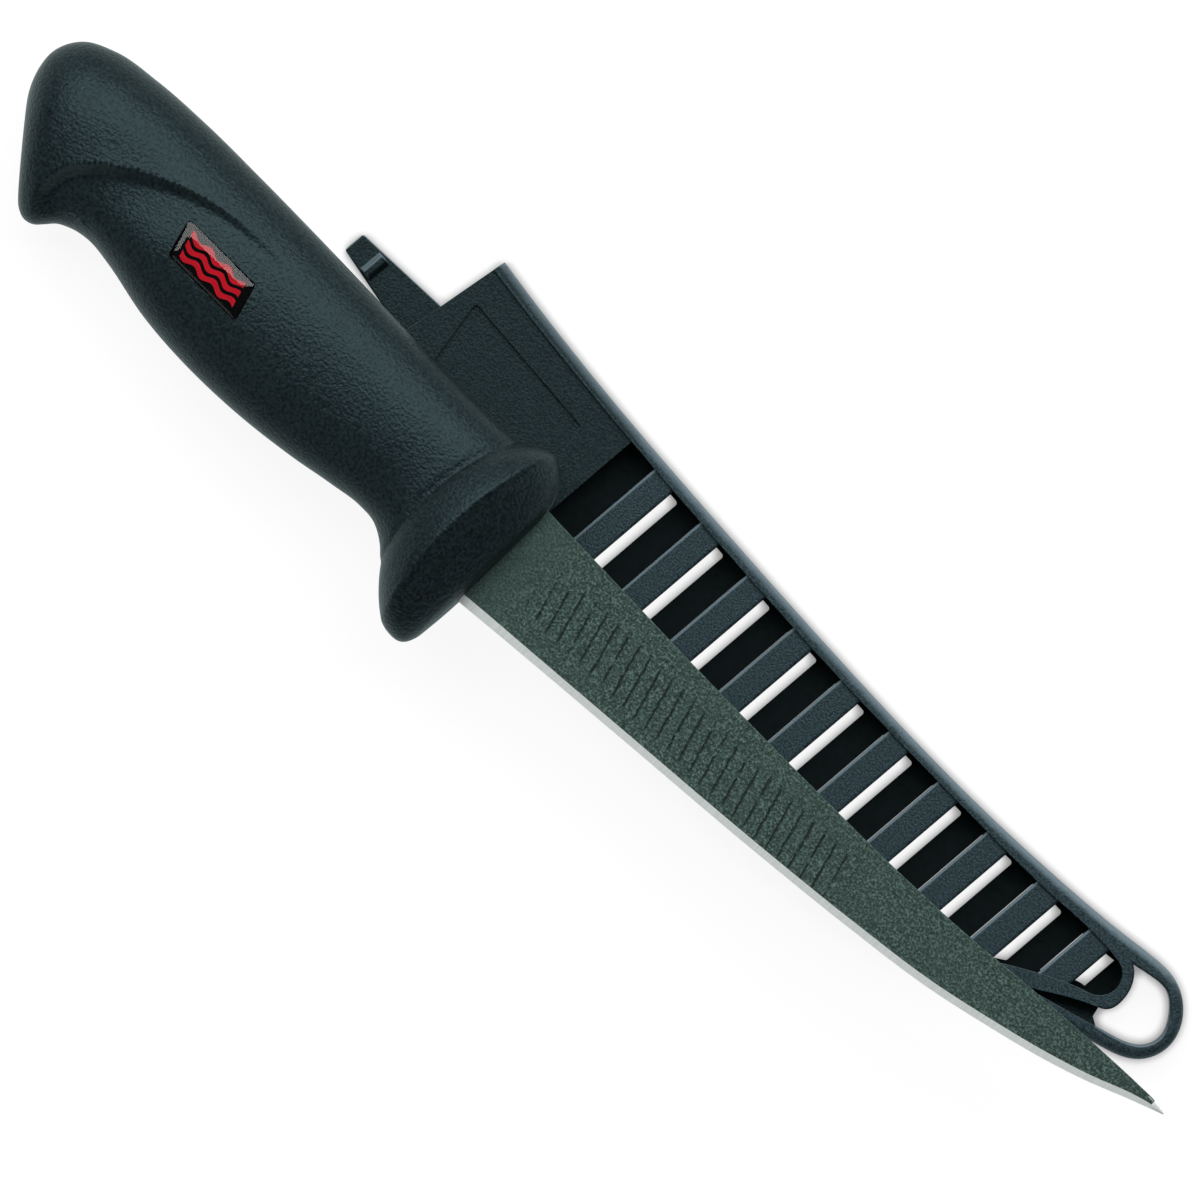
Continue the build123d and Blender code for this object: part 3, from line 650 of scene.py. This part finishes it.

# Polypropylene from a spark-eroded mould: a dry leather grain about 0.5 mm across. The slats, and the
# tops of the rails and loop past the panel, have a coarser grain and a greyer tone. Inside, where the
# mould was polished, the plastic is smooth, and its near-black colour is painted shade for the deep tray.
# The rounded arrises that look towards the pommel and spine side, where the key lamp stands, are painted
# paler: a painted highlight.
sheath_finishes = []
painted_highlight_side = (-0.77, 0.64, 0)
for name, roughness, gloss, highlight_share, scale, strength, stops in (
    ("grained_polypropylene", 0.36, 0.3, 0.8, 2100, 0.6, [(0.36, "#10181a"), (0.64, "#212d2f")]),
    ("coarse_grained_polypropylene", 0.36, 0.3, 1.0, 2300, 0.8, [(0.38, "#1c272a"), (0.64, "#394950")]),
    ("smooth_polypropylene_painted_shade", 0.55, 0.12, 0.0, 500, 0.1, [(0.3, "#070a0a"), (0.7, "#0e1314")]),
):
    finish, tree, shader = new_finish(
        name, {"Roughness": roughness, "Specular IOR Level": gloss, "Specular Tint": linear("#bfe6ee")}
    )
    where = add_node(tree, "ShaderNodeTexCoord").outputs["Object"]
    leather = add_node(
        tree,
        "ShaderNodeTexNoise",
        {"Vector": where, "Scale": scale, "Detail": 3, "Roughness": 0.5},
    )
    shade = add_node(tree, "ShaderNodeValToRGB", {"Fac": leather.outputs["Fac"]})
    set_ramp(shade, stops)
    # Arrises that tilt up towards the key lamp's side are mixed towards the pale grey #71818a below: a
    # painted highlight.
    facing = add_node(tree, "ShaderNodeTexCoord").outputs["Normal"]
    turned = add_node(tree, "ShaderNodeVectorMath", {0: facing, 1: painted_highlight_side}, operation="DOT_PRODUCT")
    turned = add_node(
        tree,
        "ShaderNodeMapRange",
        {0: turned.outputs["Value"], 1: 0.12, 2: 0.5, 3: 0.0, 4: highlight_share},
    )
    upward = add_node(tree, "ShaderNodeSeparateXYZ", {0: facing})
    upward = add_node(tree, "ShaderNodeMapRange", {0: upward.outputs["Z"], 1: 0.05, 2: 0.4, 3: 0.0, 4: 1.0})
    painted_highlight = add_node(
        tree,
        "ShaderNodeMath",
        {0: turned.outputs[0], 1: upward.outputs[0]},
        operation="MULTIPLY",
    )
    colour = add_node(
        tree,
        "ShaderNodeMix",
        {0: painted_highlight.outputs[0], 6: shade.outputs["Color"]},
        data_type="RGBA",
    )
    colour.inputs[7].default_value = linear("#71818a")
    tree.links.new(colour.outputs[2], shader.inputs["Base Color"])
    grain = add_node(
        tree,
        "ShaderNodeBump",
        {"Height": leather.outputs["Fac"], "Strength": strength, "Distance": 0.0002},
    )
    tree.links.new(grain.outputs["Normal"], shader.inputs["Normal"])
    sheath_finishes.append(finish)
grained, coarse, smooth = sheath_finishes

make = space.modifiers.new("slats", "NODES")
make.node_group = slats_tree
sockets = {item.name: item.identifier for item in slats_tree.interface.items_tree if item.in_out == "INPUT"}
for name, (kind, value) in slat_sizes.items():
    make[sockets[name]] = coarse if name == "Material" else value
apply_modifiers(space)
slats = space
tidy_mesh(slats, sheath_frame, merge=1e-4)


def smooth_arrises(piece, sharp_from):
    """Shade the rounded arrises smoothly and leave the flat faces between them flat."""
    for face in piece.data.polygons:
        face.use_smooth = True
    piece.data.set_sharp_from_angle(angle=radians(sharp_from))
    flat = piece.modifiers.new("flat_faces", "WEIGHTED_NORMAL")
    flat.keep_sharp, flat.weight = True, 100
    apply_modifiers(piece)


smooth_arrises(slats, 45)
to_sheath = sheath_frame.inverted()

# The rest of the moulding, and the catch tongue that is cut free of its back wall, are copies of the
# solids, merged and given the small rounded arrises that a mould leaves. The plain front slats come
# out of the copy, and the rails are closed where they met them.
arris, rail_arris = 0.28, 0.6
reach = 0.02
# Along the sheath, then up from its back: where the tray, the mouth's edge and the panel end, and how
# high the tray's floor and top, the panel's face and the rails' face lie.
tray_start, tray_end, mouth_end, panel_end = -1, 198, 8, 46
tray_floor, tray_top, panel_face, rail_face = 1.2, 6.3, 7.6, 8.5
space_x, space_y = np.array(between_rails).T


def in_tray(x, y):
    """Whether a place on the sheath lies between its rails."""
    below = np.interp(x, space_x[:-10:-1], space_y[:-10:-1])
    above = np.interp(x, space_x[:8], space_y[:8])
    return tray_start < x < tray_end and below < y < above


mouldings = (("sheath_body", "sheath_moulding", "sheath"), ("sheath_catch", "catch_tongue", "catch"))
for node, name, body in mouldings:
    mesh = bmesh.new()
    mesh.from_mesh(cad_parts[node].data)
    bmesh.ops.remove_doubles(mesh, verts=mesh.verts, dist=1e-6)
    plain = []
    for face in mesh.faces:
        x, y, z = to_sheath @ face.calc_center_median()
        past_start = (x - slat_start + reach) % slat_pitch
        in_slat = past_start < slat_width + 2 * reach and slat_start - reach < x and in_tray(x, y)
        if body == "sheath" and in_slat and slat_base - reach < z < slat_top + reach:
            plain.append(face)
    bmesh.ops.delete(mesh, geom=plain, context="FACES")
    open_edges = [edge for edge in mesh.edges if edge.is_boundary]
    bmesh.ops.holes_fill(mesh, edges=open_edges, sides=0)
    bmesh.ops.dissolve_limit(mesh, angle_limit=radians(0.5), verts=mesh.verts, edges=mesh.edges)
    rounding = mesh.edges.layers.float.new("bevel_weight_edge")
    for edge in mesh.edges:
        if edge.is_manifold and edge.calc_face_angle() > radians(50):
            ends = [to_sheath @ point.co for point in edge.verts]
            lowest, furthest = min(end.z for end in ends), max(end.x for end in ends)
            on_rail = lowest > rail_face or (lowest > panel_face and furthest < mouth_end)
            edge[rounding] = 1.0 if on_rail else arris / rail_arris
    piece = add_piece(name, bpy.data.meshes.new(name))
    mesh.to_mesh(piece.data)
    mesh.free()
    soften = piece.modifiers.new("arrises", "BEVEL")
    soften.width, soften.segments, soften.limit_method = rail_arris / 1000, 2, "WEIGHT"
    apply_modifiers(piece)
    smooth_arrises(piece, 50)
    dress(piece, grained, body, "sheath", node)
    for finish in (smooth, coarse):
        piece.data.materials.append(finish)
    # Tops past the panel take the coarser, greyer finish; faces inside the tray take the smooth one, whose
    # near-black colour is painted shade.
    for face in piece.data.polygons:
        x, y, z = to_sheath @ face.center
        if z > tray_top and x > panel_end and face.normal.z > 0.1:
            face.material_index = 2
        elif body == "sheath" and in_tray(x, y) and tray_floor < z < tray_top and face.normal.z > -0.5:
            face.material_index = 1
dress(slats, None, "sheath", "sheath", "sheath_body")

# Studio: a plain white floor and backdrop, a large soft lamp above the pommel and spine side, and a
# weak fill. What the camera, gloss and glass see of the floor is mostly its own white, so the shadow
# on it is faint.
floor_mesh = bmesh.new()
# The floor lies 0.2 mm below the sheath's back, so that no two faces share a plane.
just_below = Matrix.Translation((0, 0, -0.0002))
bmesh.ops.create_grid(floor_mesh, x_segments=1, y_segments=1, size=6.0, matrix=just_below)
floor = add_piece("floor", bpy.data.meshes.new("floor"))
floor_mesh.to_mesh(floor.data)
floor_mesh.free()
paper, tree, shader = new_finish("white_paper", {"Roughness": 0.9, "Specular IOR Level": 0.0})
seen = add_node(tree, "ShaderNodeLightPath").outputs
in_gloss = add_node(tree, "ShaderNodeMath", {0: seen["Is Glossy Ray"], 1: 0.55}, operation="MULTIPLY")
lifted = add_node(
    tree,
    "ShaderNodeMath",
    {0: seen["Is Camera Ray"], 1: in_gloss.outputs[0]},
    operation="MAXIMUM",
)
lifted = add_node(
    tree,
    "ShaderNodeMath",
    {0: lifted.outputs[0], 1: seen["Is Transmission Ray"]},
    operation="MAXIMUM",
)
# In the sheath's slits, and wherever something lies within 2.5 mm of the floor, its own white is dimmed: a
# painted shadow.
painted_shadow_occlusion = add_node(tree, "ShaderNodeAmbientOcclusion", {"Distance": 0.0025}, samples=8)
white_less_painted_shadow = add_node(tree, "ShaderNodeMapRange", {0: painted_shadow_occlusion.outputs["AO"], 1: 0.45, 2: 0.9, 3: 0.3, 4: 0.91})
white_less_painted_shadow = add_node(
    tree,
    "ShaderNodeMath",
    {0: white_less_painted_shadow.outputs[0], 1: lifted.outputs[0]},
    operation="MULTIPLY",
)
tree.links.new(white_less_painted_shadow.outputs[0], shader.inputs["Emission Strength"])
own_colour = add_node(tree, "ShaderNodeMix", {0: seen["Is Glossy Ray"]}, data_type="RGBA")
own_colour.inputs[6].default_value = linear("#ffffff")
own_colour.inputs[7].default_value = linear("#d6f2f0")
tree.links.new(own_colour.outputs[2], shader.inputs["Emission Color"])
ground = add_node(tree, "ShaderNodeMix", {0: lifted.outputs[0]}, data_type="RGBA")
ground.inputs[6].default_value = linear("#f2f2f2")
ground.inputs[7].default_value = (0.15, 0.15, 0.15, 1)
tree.links.new(ground.outputs[2], shader.inputs["Base Color"])
floor.data.materials.append(paper)
for name, place, width, height, power in (
    ("key", (-0.76, 1.05, 1.79), 3.6, 1.9, 65),
    ("fill", (-0.3, -1.3, 1.2), 1.2, 1.2, 2),
):
    lamp = bpy.data.objects.new(name, bpy.data.lights.new(name, "AREA"))
    lamp.data.shape, lamp.data.energy = "RECTANGLE", power
    lamp.data.size, lamp.data.size_y = width, height
    lamp.location = place
    lamp.rotation_mode = "QUATERNION"
    lamp.rotation_quaternion = (-Vector(place)).to_track_quat("-Z", "Y")
    bpy.context.scene.collection.objects.link(lamp)
world = bpy.data.worlds.new("studio")
bpy.context.scene.world = world
world.use_nodes = True
tree = world.node_tree
backdrop = tree.nodes["Background"]
seen = add_node(tree, "ShaderNodeLightPath").outputs
towards = add_node(
    tree,
    "ShaderNodeSeparateXYZ",
    {0: add_node(tree, "ShaderNodeTexCoord").outputs["Generated"]},
)
# Gloss and glass see the backdrop's white only near the floor, and the dim room above it.
low = add_node(tree, "ShaderNodeMapRange", {0: towards.outputs["Z"], 1: 0.10, 2: 0.20, 3: 1.0, 4: 0.0})
mirrored = add_node(
    tree,
    "ShaderNodeMath",
    {0: seen["Is Glossy Ray"], 1: seen["Is Transmission Ray"]},
    operation="MAXIMUM",
)
mirrored = add_node(tree, "ShaderNodeMath", {0: mirrored.outputs[0], 1: low.outputs[0]}, operation="MULTIPLY")
white = add_node(
    tree,
    "ShaderNodeMath",
    {0: mirrored.outputs[0], 1: seen["Is Camera Ray"]},
    operation="MAXIMUM",
)
air = add_node(tree, "ShaderNodeMix", {0: white.outputs[0]}, data_type="RGBA")
air.inputs[6].default_value = (0.07, 0.075, 0.08, 1)
air.inputs[7].default_value = (0.91, 0.91, 0.91, 1)
tree.links.new(air.outputs[2], backdrop.inputs["Color"])
bpy.context.scene.view_settings.view_transform = "Standard"

# Camera: straight above, turned so that the knife runs from the upper left to the lower right.
camera = bpy.data.objects.new("camera", bpy.data.cameras.new("camera"))
camera_distance = 3.5
frame_width = 0.25
camera.data.lens = 36 * camera_distance / frame_width
camera.data.clip_start, camera.data.clip_end = 0.05, 20
camera.rotation_mode = "QUATERNION"
across_image, up_image = Vector((1, 1, 0)).normalized(), Vector((-1, 1, 0)).normalized()
camera.matrix_world = Matrix((
    (across_image.x, up_image.x, 0, 0.002),
    (across_image.y, up_image.y, 0, 0.0),
    (0, 0, 1, camera_distance),
    (0, 0, 0, 1),
))
bpy.context.scene.collection.objects.link(camera)
bpy.context.scene.camera = camera
